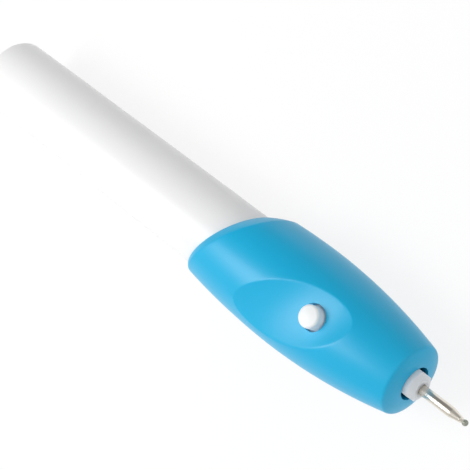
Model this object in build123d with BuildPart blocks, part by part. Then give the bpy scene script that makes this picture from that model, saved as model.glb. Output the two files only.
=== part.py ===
from build123d import *
from math import asin, cos, degrees, pi, radians, sin, sqrt, tan
import os

# Battery engraving pen, in millimetres.
# X is the pen's axis, from the flat rear face at X = 0 to the tip. +Z runs up through the push button.
# The barrel slides off a sled with two AAA cells. The grip holds a chassis with motor and switch, and
# the motor turns the tool holder and the bit.

# Shared clearances
SEAT_GAP = 0.05
RUNNING_GAP = 0.02
SLIDE_GAP = 0.1
OVERRUN = 2.0

# Barrel
BARREL_R = 9.75
BARREL_WALL = 1.4
BARREL_END_WALL = 1.6
BARREL_EDGE = 0.8
BARREL_LEAD_IN = 0.4
BARREL_SEAT_GAP = 0.3
NECK_STEP = 0.05
NECK_BLEND = 1.5

# Cells, and the sled that they lie in
CELL_R = 5.25
CELL_LENGTH = 44.5
CELL_EDGE = 0.5
NUB_R = 1.9
NUB_LENGTH = 0.8
SLED_END_GAP = 0.6
SLED_SIDE_GAP = 0.2
SLED_END_WALL = 1.4
TROUGH_WALL = 1.2
TROUGH_RISE = 1.0
SLED_RING = 1.4
SLED_BLOCK = 3.6
BLOCK_PLATE = 1.1
WINDOW_LENGTH = 12.0
WINDOW_HEIGHT = 2.4
WINDOW_DROP = 2.2

# Stamped strips and the spring
STRIP = 0.3
STRIP_WIDTH = 3.0
PLATE_SIDE = 7.0
TAB_REACH = 7.6
SPRING_WIRE_R = 0.35
SPRING_LENGTH = 4.7
SPRING_BASE_R = 3.6
SPRING_TOP_R = 2.4
SPRING_QUARTERS = 12

# Grip: outer form
SOCKET_DEPTH = 11.87
APEX_FROM_SHOULDER = 8.7
NOSE_REACH = 36.25
GRIP_R = 12.8
REAR_ARC = 198.0
FRONT_ARC = 143.0
NOSE_DOME_R = 10.0
NOSE_DOME_RISE = 1.15
NOSE_FILLET = 0.9
RIM_SLANT = 28.4
RIM_STEP = 0.28
RIM_CROWN_RISE = 0.75
RIM_BLEND = 9.75
RIM_FILLET = 0.35
RIM_SOFTENING = 0.8
RIM_STATIONS = 6

# Grip: finger dish, cut by a waisted roller that lies across the grip
DISH_FROM_APEX = 13.9
DISH_FLOOR = 10.1
DISH_YAW = 57.8
DISH_PITCH = -2.4
DISH_R = 23.85
DISH_WAIST = 55.0
DISH_LIP = 0.8

# Grip: cavity
SOCKET_GAP = 0.1
CAVITY_R = 9.3
CAVITY_TOP = 8.5
CAVITY_LENGTH = 26.5
NOSE_WALL = 2.5
NOSE_CAVITY_R = 5.6
BOSS_HALF_WIDTH = 3.0
BOSS_LENGTH = 8.5

# Push button
BUTTON_FROM_APEX = 13.2
BUTTON_R = 2.6
BUTTON_GAP = 0.5
BUTTON_STAND = 1.7
BUTTON_ROUND = 0.7
BUTTON_CROWN = 0.3
FLANGE_R = 3.55
FLANGE_THICKNESS = 0.7

# Chassis and switch
CHASSIS_DISC = 2.0
CHASSIS_FRONT_WALL = 2.0
TERMINAL_ROOM = 2.5
TERMINAL_HALF_WIDTH = 6.2
DECK = 0.5
DECK_START = 0.6
CONTACT_STRIP = 0.15
LEAF = 0.2
LEAF_HALF_WIDTH = 2.0
LEAF_PAD = 0.3
LEAF_BASE = 4.0
LEAF_PAD_FROM_DISC = 2.6
LEAF_TOP_HALF = 3.2
CONTACT_HALF = 3.0
SCREW_R = 0.85
SCREW_HEAD_R = 1.5
SCREW_HEAD = 1.2
SCREW_DROP = 7.55
SCREW_REACH = 7.0

# Motor
MOTOR_R = 7.75
MOTOR_HALF_FLAT = 6.05
MOTOR_LENGTH = 19.0
CAN_WALL = 0.7
BELL_PLATE = 2.0
BELL_SPIGOT = 1.0
BOSS_R = 2.8
BOSS_STAND = 1.2
BEARING_R = 1.9
BEARING_LENGTH = 2.2
SHAFT_R = 1.0
SHAFT_TAIL = 0.4
TAG_WIDTH = 1.4
TAG_THICKNESS = 0.4
TAG_STAND = 2.1
TAG_OFFSET = 4.6
TAG_HOLE_R = 0.4
BRUSH = 0.2
BRUSH_WIDTH = 1.2
BRUSH_PAST_CENTRE = 1.2
MAGNET_INNER_R = 5.0
MAGNET_LENGTH = 12.5
MAGNET_ANGLE = 80.0
CORE_R = 4.6
CORE_LENGTH = 8.0
CORE_HUB_R = 1.7
WEB_WIDTH = 1.5
SHOE_THICKNESS = 0.7
SHOE_ANGLE = 96.0
COIL_BUILD = 0.9
COIL_INNER_R = 1.9
COIL_OUTER_R = 3.35
POLES = 3
COMMUTATOR_R = 1.9
COMMUTATOR_HUB_R = 1.5
COMMUTATOR_LENGTH = 1.9
COMMUTATOR_STANDOFF = 0.3
SEGMENT_ANGLE = 108.0

# Tool holder and bit
NOSE_HOLE_GAP = 0.15
HOLDER_R = 3.9
HOLDER_REAR_GAP = 2.95
HOLDER_STAND = 2.1
HOLDER_CONE = 1.0
HOLDER_FACE_R = 2.5
HOLDER_EDGE = 0.35
HOLDER_HALF_FLAT = 3.05
FLAT_ANGLE = -11.0
SHANK_R = 1.175
SHANK_STAND = 8.25
GROOVE_DEPTH = 0.2
GROOVE_LENGTH = 1.5
CONE_R = 0.85
CONE_LENGTH = 1.5
TAPER_R = 0.62
TAPER_LENGTH = 1.2
NECK_R = 0.5
HEAD_R = 0.71
HEAD_FROM_TAPER = 0.95

# Leads
LEAD_R = 0.4
LEAD_BEND = 1.2
LEAD_NOTCH_HALF = 2.6
LEAD_WINDOW_IN = 1.0
LEAD_WINDOW_TOP = 1.0
LEAD_WINDOW_HEIGHT = 4.7

# Stations along the axis
sled_rear_x = BARREL_END_WALL + SLED_END_GAP
plate_x = sled_rear_x + SLED_END_WALL
spring_x = plate_x + STRIP
cell_rear_x = spring_x + SPRING_LENGTH
cell_front_x = cell_rear_x + CELL_LENGTH
contact_x = cell_front_x + CELL_LENGTH
block_x = contact_x + STRIP
shoulder_x = block_x + SLED_BLOCK
barrel_front_x = shoulder_x - BARREL_SEAT_GAP
apex_x = shoulder_x + APEX_FROM_SHOULDER
rim_x = shoulder_x - SOCKET_DEPTH
rim_tip_reach = apex_x - rim_x + GRIP_R * tan(radians(RIM_SLANT))
rim_r = GRIP_R - REAR_ARC + sqrt(REAR_ARC**2 - rim_tip_reach**2) - RIM_STEP
rim_crown_r = GRIP_R + RIM_CROWN_RISE
neck_x = rim_x - rim_r * tan(radians(RIM_SLANT))
nose_x = apex_x + NOSE_REACH
disc_front_x = shoulder_x + CHASSIS_DISC
motor_rear_x = disc_front_x + TERMINAL_ROOM
motor_front_x = motor_rear_x + MOTOR_LENGTH
can_x = motor_rear_x + BELL_PLATE
spigot_x = can_x + BELL_SPIGOT
wall_x = motor_front_x + SEAT_GAP
chassis_front_x = wall_x + CHASSIS_FRONT_WALL
button_x = apex_x + BUTTON_FROM_APEX
holder_front_x = nose_x + HOLDER_STAND
holder_rear_x = chassis_front_x + HOLDER_REAR_GAP
holder_length = holder_front_x - holder_rear_x

# Shares of the tool holder's length: its flats, and the seats for the shaft and the bit
flat_share, shaft_seat_share, bit_seat_share = 0.5, 0.26, 0.63
shaft_seat = shaft_seat_share * holder_length
bit_seat = bit_seat_share * holder_length
bit_rear_x = holder_front_x - bit_seat

# Radii and heights that several pieces share
bore_r = BARREL_R - BARREL_WALL
neck_r = BARREL_R - NECK_STEP
sled_r = bore_r - SLED_SIDE_GAP
trough_r = CELL_R + SLIDE_GAP + SEAT_GAP
trough_outer_r = trough_r + TROUGH_WALL
chassis_r = CAVITY_R - SLIDE_GAP
deck_bottom = MOTOR_HALF_FLAT + SEAT_GAP
deck_top = deck_bottom + DECK
leaf_base_z = deck_top + LEAF_PAD
flange_top_z = CAVITY_TOP - SEAT_GAP
flange_bottom_z = flange_top_z - FLANGE_THICKNESS
nose_hole_r = HOLDER_R + NOSE_HOLE_GAP
tag_z = COMMUTATOR_R + RUNNING_GAP + BRUSH / 2
commutator_x = spigot_x + COMMUTATOR_STANDOFF
core_x = commutator_x + COMMUTATOR_LENGTH + COIL_BUILD + COMMUTATOR_STANDOFF

os.makedirs("parts", exist_ok=True)


def finish(builder, name):
    """Label a finished piece and write its STEP file."""
    builder.part.label = name
    export_step(builder.part, f"parts/{name}.step")


def across(x):
    """A plane square to the pen's axis at x, with local x along +Y and local y along +Z."""
    return Plane.YZ.offset(x)


# Barrel: a plain tube with a flat closed rear end, and a neck eased by a hair for the grip's socket
with BuildPart() as barrel:
    with BuildSketch(Plane.XY):
        with BuildLine():
            Polyline(
                (0, 0),
                (0, BARREL_R),
                (neck_x - NECK_BLEND, BARREL_R),
                (neck_x, neck_r),
                (barrel_front_x, neck_r),
                (barrel_front_x, 0),
                close=True,
            )
        make_face()
    revolve(axis=Axis.X)
    fillet(barrel.faces().sort_by(Axis.X)[0].edges(), BARREL_EDGE)
    chamfer(barrel.faces().sort_by(Axis.X)[-1].edges(), BARREL_LEAD_IN)
    with BuildSketch(across(BARREL_END_WALL)):
        Circle(bore_r)
    extrude(amount=barrel_front_x, mode=Mode.SUBTRACT)
finish(barrel, "barrel")


# Rim envelope of the grip: ellipses on planes that slant sideways, whose radius follows one arc. It
# cuts a band along the rim that is narrow on the -Y side and wide on the +Y side
def slanted(x):
    """A plane through the axis at x that leans by the rim's slant towards +Y."""
    lean = radians(RIM_SLANT)
    return Plane(origin=(x, 0, 0), x_dir=(sin(lean), cos(lean), 0), z_dir=(cos(lean), -sin(lean), 0))


def slanted_ellipse(radius):
    """The section of a cylinder of this radius by a slanted plane."""
    return Ellipse(radius / cos(radians(RIM_SLANT)), radius)


rim_rise = rim_crown_r - rim_r
rim_arc_r = (RIM_BLEND**2 + rim_rise**2) / (2 * rim_rise)

with BuildPart() as rim_envelope:
    for station in range(RIM_STATIONS):
        along = RIM_BLEND * station / (RIM_STATIONS - 1)
        radius = rim_crown_r - rim_arc_r + sqrt(rim_arc_r**2 - (RIM_BLEND - along) ** 2)
        with BuildSketch(slanted(rim_x + along)):
            slanted_ellipse(radius)
    loft()
    with BuildSketch(slanted(rim_x + RIM_BLEND)):
        slanted_ellipse(rim_crown_r + OVERRUN)
    extrude(amount=NOSE_REACH + SOCKET_DEPTH + APEX_FROM_SHOULDER, dir=(1, 0, 0))
    fillet(rim_envelope.faces().filter_by(GeomType.PLANE).sort_by(Axis.X)[0].edges(), RIM_FILLET)

# Dish roller: its axis lies above the floor, and its waist is a long arc that bulges towards the pen
dish_yaw, dish_pitch = radians(DISH_YAW), radians(DISH_PITCH)
dish_reach = 2 * GRIP_R
dish_plane = Plane(
    origin=(apex_x + DISH_FROM_APEX, 0, DISH_FLOOR),
    x_dir=(cos(dish_yaw) * cos(dish_pitch), sin(dish_yaw) * cos(dish_pitch), -sin(dish_pitch)),
    z_dir=(cos(dish_yaw) * sin(dish_pitch), sin(dish_yaw) * sin(dish_pitch), cos(dish_pitch)),
)

with BuildPart() as dish_roller:
    with BuildSketch(Plane(origin=dish_plane.origin, x_dir=dish_plane.x_dir, z_dir=-dish_plane.y_dir)):
        with BuildLine():
            flare = DISH_WAIST - sqrt(DISH_WAIST**2 - dish_reach**2)
            ThreePointArc((-dish_reach, -flare), (0, 0), (dish_reach, -flare))
            Polyline((dish_reach, -flare), (dish_reach, DISH_R), (-dish_reach, DISH_R), (-dish_reach, -flare))
        make_face()
    roller_axis = Axis(dish_plane.origin + dish_plane.z_dir * DISH_R, dish_plane.x_dir)
    revolve(axis=roller_axis)

# Cavity of the grip: socket for the barrel, chamber with a flat roof for the switch, cone to the nose
chamber_end_x = shoulder_x + CAVITY_LENGTH
cone_end_x = nose_x - NOSE_WALL

with BuildPart() as grip_cavity:
    with BuildSketch(Plane.XY):
        with BuildLine():
            Polyline(
                (shoulder_x, 0),
                (shoulder_x, CAVITY_R),
                (chamber_end_x, CAVITY_R),
                (cone_end_x, NOSE_CAVITY_R),
                (cone_end_x, 0),
                close=True,
            )
        make_face()
    revolve(axis=Axis.X)
    with BuildSketch(Plane.XY.offset(CAVITY_TOP)):
        with Locations(((shoulder_x + nose_x) / 2, 0)):
            Rectangle(nose_x - shoulder_x, 2 * GRIP_R)
    extrude(amount=GRIP_R, mode=Mode.SUBTRACT)
    with BuildSketch(Plane.XY.offset(-deck_bottom - SEAT_GAP)):
        with Locations((disc_front_x + BOSS_LENGTH / 2, 0)):
            Rectangle(BOSS_LENGTH, 2 * BOSS_HALF_WIDTH)
    extrude(amount=-GRIP_R, mode=Mode.SUBTRACT)

# Grip: the moulded housing, turned profile, slanted rim, dish and holes
with BuildPart() as grip:
    with BuildSketch(Plane.XY):
        with BuildLine():
            rear_reach = apex_x - rim_x + GRIP_R
            CenterArc((apex_x, GRIP_R - REAR_ARC), REAR_ARC, 90, degrees(asin(rear_reach / REAR_ARC)))
            rear_point = (apex_x - rear_reach, GRIP_R - REAR_ARC + sqrt(REAR_ARC**2 - rear_reach**2))
            edge_reach = NOSE_REACH - NOSE_DOME_RISE
            CenterArc((apex_x, GRIP_R - FRONT_ARC), FRONT_ARC, 90, -degrees(asin(edge_reach / FRONT_ARC)))
            edge_point = (apex_x + edge_reach, GRIP_R - FRONT_ARC + sqrt(FRONT_ARC**2 - edge_reach**2))
            RadiusArc(edge_point, (nose_x, nose_hole_r), NOSE_DOME_R)
            Polyline((nose_x, nose_hole_r), (nose_x, 0), (rear_point[0], 0), rear_point)
        grip_face = make_face()
        fillet(grip_face.vertices().sort_by_distance(edge_point)[0], NOSE_FILLET)
    revolve(axis=Axis.X)
    add(rim_envelope.part, mode=Mode.INTERSECT)
    fillet(grip.edges().filter_by(GeomType.BSPLINE).sort_by(SortBy.LENGTH)[-1], RIM_SOFTENING)
    add(dish_roller.part, mode=Mode.SUBTRACT)
    dish_face = grip.faces().sort_by_distance(dish_plane.origin)[0]
    fillet(dish_face.edges(), DISH_LIP)
    with BuildSketch(across(0)):
        Circle(neck_r + SOCKET_GAP)
    extrude(amount=shoulder_x, mode=Mode.SUBTRACT)
    add(grip_cavity.part, mode=Mode.SUBTRACT)
    with BuildSketch(across(cone_end_x - SEAT_GAP)):
        Circle(nose_hole_r)
    extrude(amount=NOSE_WALL + OVERRUN, mode=Mode.SUBTRACT)
    with BuildSketch(Plane.XY):
        with Locations((button_x, 0)):
            Circle(BUTTON_R + BUTTON_GAP)
    extrude(amount=GRIP_R + OVERRUN, mode=Mode.SUBTRACT)
    with BuildSketch(across(disc_front_x)):
        with Locations((0, -SCREW_DROP)):
            Circle(SCREW_R + SEAT_GAP)
    extrude(amount=SCREW_REACH, mode=Mode.SUBTRACT)
finish(grip, "grip")

# Battery sled: an open trough with a rear wall, a front block and rings that fill the barrel's bore
ring_shares = (0.5, 1.0, 1.5)
window_shares = (0.25, 0.75, 1.25, 1.75)
ring_places = [cell_rear_x + CELL_LENGTH * share for share in ring_shares]
window_places = [cell_rear_x + CELL_LENGTH * share for share in window_shares]

with BuildPart() as battery_sled:
    with BuildSketch(across(sled_rear_x)):
        Circle(sled_r)
    extrude(amount=SLED_END_WALL)
    with BuildSketch(across(block_x)):
        Circle(sled_r)
    extrude(amount=SLED_BLOCK)
    with BuildSketch(across(plate_x)):
        Circle(trough_outer_r)
        Circle(trough_r, mode=Mode.SUBTRACT)
        with Locations((0, TROUGH_RISE)):
            Rectangle(2 * sled_r, sled_r, align=(Align.CENTER, Align.MIN), mode=Mode.SUBTRACT)
    extrude(amount=block_x - plate_x)
    for place in ring_places:
        with BuildSketch(across(place - SLED_RING / 2)):
            Circle(sled_r)
            Circle(trough_r, mode=Mode.SUBTRACT)
            with Locations((0, TROUGH_RISE)):
                Rectangle(2 * sled_r, sled_r, align=(Align.CENTER, Align.MIN), mode=Mode.SUBTRACT)
        extrude(amount=SLED_RING)
    for place in window_places:
        with BuildSketch(Plane.XZ):
            with Locations((place, -WINDOW_DROP)):
                RectangleRounded(WINDOW_LENGTH, WINDOW_HEIGHT, WINDOW_HEIGHT / 3)
        extrude(amount=sled_r, both=True, mode=Mode.SUBTRACT)
    with BuildSketch(across(sled_rear_x)):
        with Locations((0, -trough_outer_r + SEAT_GAP)):
            Rectangle(STRIP_WIDTH + SLIDE_GAP, sled_r, align=(Align.CENTER, Align.MAX))
    extrude(amount=shoulder_x - sled_rear_x, mode=Mode.SUBTRACT)
    with BuildSketch(across(plate_x)):
        Rectangle(STRIP_WIDTH + SLIDE_GAP, sled_r, align=(Align.CENTER, Align.MAX))
    extrude(amount=STRIP + SEAT_GAP, mode=Mode.SUBTRACT)
    with BuildSketch(across(block_x)):
        with Locations((0, deck_top - SLIDE_GAP)):
            Rectangle(2 * LEAD_NOTCH_HALF, sled_r, align=(Align.CENTER, Align.MIN))
    extrude(amount=SLED_BLOCK, mode=Mode.SUBTRACT)
    with BuildSketch(across(block_x + BLOCK_PLATE)):
        with Locations((-STRIP_WIDTH / 2 - SEAT_GAP, -sled_r)):
            Rectangle(
                TERMINAL_HALF_WIDTH + STRIP_WIDTH / 2 + SEAT_GAP,
                sled_r - LEAD_WINDOW_TOP,
                align=(Align.MIN, Align.MIN),
            )
    extrude(amount=SLED_BLOCK, mode=Mode.SUBTRACT)
finish(battery_sled, "battery_sled")

# Ground strip: a plate behind the spring, bent to a strip that runs forward under the trough
strip_top_z = -trough_outer_r
strip_front_x = block_x + BLOCK_PLATE + STRIP_WIDTH / 5

with BuildPart() as ground_strip:
    with BuildSketch(across(plate_x)):
        RectangleRounded(PLATE_SIDE, PLATE_SIDE, PLATE_SIDE / 6)
        Rectangle(STRIP_WIDTH, -strip_top_z + STRIP, align=(Align.CENTER, Align.MAX))
    extrude(amount=STRIP)
    with BuildSketch(Plane.XY.offset(strip_top_z - STRIP)):
        with Locations((plate_x, 0)):
            Rectangle(strip_front_x - plate_x, STRIP_WIDTH, align=(Align.MIN, Align.CENTER))
    extrude(amount=STRIP)
finish(ground_strip, "ground_strip")


# Rear spring: one conical wire, its turns as quarter turns of two tangent arcs each
def spring_point(turn_share):
    """Point and tangent on the conical helix at a share of its length."""
    angle = turn_share * SPRING_QUARTERS * pi / 2
    radius = SPRING_BASE_R + (SPRING_TOP_R - SPRING_BASE_R) * turn_share
    climb = SPRING_LENGTH - 2 * SPRING_WIRE_R - 2 * SEAT_GAP
    point = Vector(
        spring_x + SPRING_WIRE_R + SEAT_GAP + climb * turn_share, radius * cos(angle), radius * sin(angle)
    )
    turn = SPRING_QUARTERS * pi / 2
    narrowing = SPRING_TOP_R - SPRING_BASE_R
    tangent = Vector(
        climb,
        narrowing * cos(angle) - radius * turn * sin(angle),
        narrowing * sin(angle) + radius * turn * cos(angle),
    )
    return point, tangent.normalized()


def biarc_joint(start, start_tangent, end, end_tangent):
    """The joint and its tangent of two arcs that meet the given ends."""
    chord = end - start
    tangents = start_tangent + end_tangent
    spread = 2 * (1 - start_tangent.dot(end_tangent))
    along = chord.dot(tangents)
    reach = (-along + sqrt(along**2 + spread * chord.dot(chord))) / spread
    first = start + start_tangent * reach
    second = end - end_tangent * reach
    return (first + second) * 0.5, second - first


with BuildPart() as rear_spring:
    with BuildLine() as spring_path:
        for quarter in range(SPRING_QUARTERS):
            start, start_tangent = spring_point(quarter / SPRING_QUARTERS)
            end, end_tangent = spring_point((quarter + 1) / SPRING_QUARTERS)
            joint, joint_tangent = biarc_joint(start, start_tangent, end, end_tangent)
            TangentArc(start, joint, tangent=start_tangent)
            TangentArc(joint, end, tangent=joint_tangent)
    spring_start, spring_tangent = spring_point(0)
    with BuildSketch(Plane(origin=spring_start, z_dir=spring_tangent)):
        Circle(SPRING_WIRE_R)
    sweep()
finish(rear_spring, "rear_spring")

steps_per_turn = 48
spring_steps = SPRING_QUARTERS * steps_per_turn // 4
spring_track = [spring_point(step / spring_steps)[0] for step in range(spring_steps + 1)]
spring_gap = min(
    (spring_track[i] - spring_track[j]).length - 2 * SPRING_WIRE_R
    for i in range(spring_steps + 1)
    for j in range(i + steps_per_turn // 2, spring_steps + 1)
)
print(f"rear spring: least gap to itself {spring_gap:.2f} mm")

# Front contact: a plate with a tab that rises to the lead
with BuildPart() as front_contact:
    with BuildSketch(across(contact_x)):
        RectangleRounded(PLATE_SIDE, PLATE_SIDE, PLATE_SIDE / 6)
        Rectangle(STRIP_WIDTH, TAB_REACH, align=(Align.CENTER, Align.MIN))
    extrude(amount=STRIP)
finish(front_contact, "front_contact")


# Cells: a turned can with a nub at the positive end
def build_cell(start_x, name):
    """One AAA cell whose flat negative end lies at start_x."""
    can_end_x = start_x + CELL_LENGTH - NUB_LENGTH
    with BuildPart() as cell:
        with BuildSketch(across(start_x)):
            Circle(CELL_R)
        extrude(amount=can_end_x - start_x)
        fillet(cell.edges().filter_by(GeomType.CIRCLE), CELL_EDGE)
        with BuildSketch(across(can_end_x)):
            Circle(NUB_R)
        extrude(amount=NUB_LENGTH)
        fillet(cell.faces().sort_by(Axis.X)[-1].edges(), CELL_EDGE / 2)
    finish(cell, name)


build_cell(cell_rear_x, "cell_rear")
build_cell(cell_front_x, "cell_front")


# Motor outline: a circle between two flats
def motor_outline(radius, half_flat):
    """The flat-sided section of the motor, in the open sketch."""
    Circle(radius)
    Rectangle(2 * radius, 2 * half_flat, mode=Mode.INTERSECT)


# Chassis: rear disc, two cheeks, a deck over the motor and a front wall, open below
with BuildPart() as chassis:
    with BuildSketch(across(shoulder_x)):
        Circle(chassis_r)
        with Locations((0, CAVITY_TOP - SLIDE_GAP)):
            Rectangle(2 * CAVITY_R, CAVITY_R, align=(Align.CENTER, Align.MIN), mode=Mode.SUBTRACT)
    extrude(amount=CHASSIS_DISC)
    with BuildSketch(across(disc_front_x)):
        Circle(chassis_r)
        with Locations((0, (deck_top - deck_bottom) / 2)):
            Rectangle(2 * CAVITY_R, deck_top + deck_bottom, mode=Mode.INTERSECT)
    extrude(amount=chassis_front_x - disc_front_x)
    with BuildSketch(across(motor_rear_x)):
        motor_outline(MOTOR_R + SEAT_GAP, deck_bottom)
        with Locations((0, -deck_bottom)):
            Rectangle(2 * (MOTOR_R - TAG_WIDTH), deck_bottom, align=(Align.CENTER, Align.MIN))
    extrude(amount=wall_x - motor_rear_x, mode=Mode.SUBTRACT)
    with BuildSketch(across(disc_front_x)):
        with Locations((0, deck_bottom)):
            Rectangle(2 * TERMINAL_HALF_WIDTH, 2 * deck_bottom, align=(Align.CENTER, Align.MAX))
    extrude(amount=TERMINAL_ROOM, mode=Mode.SUBTRACT)
    with BuildSketch(Plane.XY.offset(deck_bottom)):
        with Locations((disc_front_x, 0)):
            Rectangle(DECK_START, 2 * TERMINAL_HALF_WIDTH, align=(Align.MIN, Align.CENTER))
    extrude(amount=DECK, mode=Mode.SUBTRACT)
    with BuildSketch(across(wall_x)):
        Circle(BOSS_R + SLIDE_GAP)
    extrude(amount=CHASSIS_FRONT_WALL, mode=Mode.SUBTRACT)
    with BuildSketch(Plane.XY.offset(deck_top)):
        with Locations((disc_front_x + LEAF_PAD_FROM_DISC, 0)):
            Rectangle(LEAF_BASE, 2 * LEAF_HALF_WIDTH, align=(Align.MIN, Align.CENTER))
    extrude(amount=LEAF_PAD)
    with BuildSketch(across(shoulder_x)):
        with Locations((0, deck_top)):
            Rectangle(2 * LEAD_NOTCH_HALF, CAVITY_R, align=(Align.CENTER, Align.MIN))
        with Locations((LEAD_WINDOW_IN, -LEAD_WINDOW_TOP)):
            Rectangle(
                TERMINAL_HALF_WIDTH - LEAD_WINDOW_IN, LEAD_WINDOW_HEIGHT, align=(Align.MIN, Align.MAX)
            )
        with Locations((0, -SCREW_DROP)):
            Circle(SCREW_R + SEAT_GAP)
    extrude(amount=CHASSIS_DISC, mode=Mode.SUBTRACT)
    with BuildSketch(across(shoulder_x)):
        with Locations((0, -SCREW_DROP)):
            Circle(SCREW_HEAD_R + SEAT_GAP)
    extrude(amount=SCREW_HEAD + SEAT_GAP, mode=Mode.SUBTRACT)
finish(chassis, "chassis")

# Chassis screw: a pan head in the disc's recess and a shank in the grip's boss
head_x = shoulder_x + SEAT_GAP
slot_share = 1.4

with BuildPart() as chassis_screw:
    with BuildSketch(across(head_x)):
        with Locations((0, -SCREW_DROP)):
            Circle(SCREW_HEAD_R)
    extrude(amount=SCREW_HEAD)
    fillet(chassis_screw.faces().sort_by(Axis.X)[0].edges(), SCREW_HEAD / 4)
    with BuildSketch(across(head_x)):
        with Locations((0, -SCREW_DROP)):
            Rectangle(SCREW_HEAD_R * slot_share, SCREW_HEAD / 4)
            Rectangle(SCREW_HEAD / 4, SCREW_HEAD_R * slot_share)
    extrude(amount=SCREW_HEAD / 2, mode=Mode.SUBTRACT)
    with BuildSketch(across(head_x + SCREW_HEAD)):
        with Locations((0, -SCREW_DROP)):
            Circle(SCREW_R)
    extrude(amount=disc_front_x + SCREW_REACH - SCREW_R - head_x - SCREW_HEAD)
    chamfer(chassis_screw.faces().sort_by(Axis.X)[-1].edges(), SCREW_R / 2)
finish(chassis_screw, "chassis_screw")

# Motor can: drawn shell with a bearing boss at the front
with BuildPart() as motor_can:
    with BuildSketch(across(can_x)):
        motor_outline(MOTOR_R, MOTOR_HALF_FLAT)
    extrude(amount=motor_front_x - can_x)
    fillet(motor_can.faces().sort_by(Axis.X)[-1].edges(), CAN_WALL / 2)
    with BuildSketch(across(can_x)):
        motor_outline(MOTOR_R - CAN_WALL, MOTOR_HALF_FLAT - CAN_WALL)
    extrude(amount=motor_front_x - can_x - CAN_WALL, mode=Mode.SUBTRACT)
    with BuildSketch(across(motor_front_x - CAN_WALL)):
        Circle(BOSS_R)
    extrude(amount=BOSS_STAND + CAN_WALL)
    with BuildSketch(across(can_x)):
        Circle(BEARING_R + RUNNING_GAP)
    extrude(amount=MOTOR_LENGTH, mode=Mode.SUBTRACT)
finish(motor_can, "motor_can")

# Motor end bell: moulded cap with a spigot, a bearing boss and slots for the tags
with BuildPart() as motor_end_bell:
    with BuildSketch(across(motor_rear_x)):
        motor_outline(MOTOR_R, MOTOR_HALF_FLAT)
    extrude(amount=BELL_PLATE)
    with BuildSketch(across(can_x)):
        motor_outline(MOTOR_R - CAN_WALL - SEAT_GAP, MOTOR_HALF_FLAT - CAN_WALL - SEAT_GAP)
    extrude(amount=BELL_SPIGOT)
    with BuildSketch(across(motor_rear_x - BOSS_STAND)):
        Circle(BOSS_R)
    extrude(amount=BOSS_STAND)
    with BuildSketch(across(motor_rear_x - BOSS_STAND)):
        Circle(BEARING_R + RUNNING_GAP)
    extrude(amount=BOSS_STAND + BELL_PLATE + BELL_SPIGOT, mode=Mode.SUBTRACT)
    with BuildSketch(across(motor_rear_x)):
        with Locations((-TAG_OFFSET, tag_z), (TAG_OFFSET, -tag_z)):
            Rectangle(TAG_WIDTH + SLIDE_GAP, TAG_THICKNESS + SLIDE_GAP)
    extrude(amount=BELL_PLATE + BELL_SPIGOT, mode=Mode.SUBTRACT)
finish(motor_end_bell, "motor_end_bell")

# Motor terminals: two tags, half a turn apart, with an eye for the lead
with BuildPart() as motor_terminals:
    for side in (-1, 1):
        with BuildSketch(Plane.XY.offset(-side * tag_z - TAG_THICKNESS / 2)):
            with Locations((motor_rear_x - TAG_STAND, side * TAG_OFFSET)):
                Rectangle(TAG_STAND + BELL_PLATE + BELL_SPIGOT, TAG_WIDTH, align=(Align.MIN, Align.CENTER))
            with Locations((motor_rear_x - TAG_STAND + TAG_WIDTH / 2, side * TAG_OFFSET)):
                Circle(TAG_HOLE_R, mode=Mode.SUBTRACT)
        extrude(amount=TAG_THICKNESS)
finish(motor_terminals, "motor_terminals")

# Motor brushes: two flat springs that start at the tags and lie on the commutator
with BuildPart() as motor_brushes:
    for side in (-1, 1):
        outer_y = side * (TAG_OFFSET + TAG_WIDTH / 2)
        inner_y = side * (TAG_OFFSET - TAG_WIDTH / 2)
        far_y = -side * BRUSH_PAST_CENTRE
        brush_x = commutator_x + COMMUTATOR_STANDOFF
        with BuildSketch(Plane.XY.offset(-side * tag_z - BRUSH / 2)):
            with BuildLine():
                Polyline(
                    (spigot_x, outer_y),
                    (brush_x + BRUSH_WIDTH, outer_y),
                    (brush_x + BRUSH_WIDTH, far_y),
                    (brush_x, far_y),
                    (brush_x, inner_y),
                    (spigot_x, inner_y),
                    close=True,
                )
            make_face()
        extrude(amount=BRUSH)
finish(motor_brushes, "motor_brushes")


# Motor bearings: sintered bushes
def build_bearing(start_x, name):
    """A plain bush that the shaft runs in."""
    with BuildPart() as bearing:
        with BuildSketch(across(start_x)):
            Circle(BEARING_R)
            Circle(SHAFT_R + RUNNING_GAP, mode=Mode.SUBTRACT)
        extrude(amount=BEARING_LENGTH)
    finish(bearing, name)


build_bearing(motor_rear_x - BOSS_STAND + RUNNING_GAP, "motor_rear_bearing")
build_bearing(motor_front_x + BOSS_STAND - RUNNING_GAP - BEARING_LENGTH, "motor_front_bearing")

# Motor magnets: two arcs against the can's round sides
magnet_r = MOTOR_R - CAN_WALL - SEAT_GAP
magnet_x = motor_front_x - CAN_WALL - SEAT_GAP - MAGNET_LENGTH

with BuildPart() as motor_magnets:
    for middle in (0, 180):
        with BuildSketch(across(magnet_x)):
            with BuildLine():
                low = middle - MAGNET_ANGLE / 2
                inner = CenterArc((0, 0), MAGNET_INNER_R, low, MAGNET_ANGLE)
                outer = CenterArc((0, 0), magnet_r, low, MAGNET_ANGLE)
                Line(inner @ 0, outer @ 0)
                Line(inner @ 1, outer @ 1)
            make_face()
        extrude(amount=MAGNET_LENGTH)
finish(motor_magnets, "motor_magnets")

# Motor shaft: from the rear bush to its seat in the tool holder
shaft_x = motor_rear_x - BOSS_STAND + SHAFT_TAIL

with BuildPart() as motor_shaft:
    with BuildSketch(across(shaft_x)):
        Circle(SHAFT_R)
    extrude(amount=holder_rear_x + shaft_seat - SEAT_GAP - shaft_x)
    chamfer(motor_shaft.edges().filter_by(GeomType.CIRCLE), SHAFT_R / 5)
finish(motor_shaft, "motor_shaft")

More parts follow.
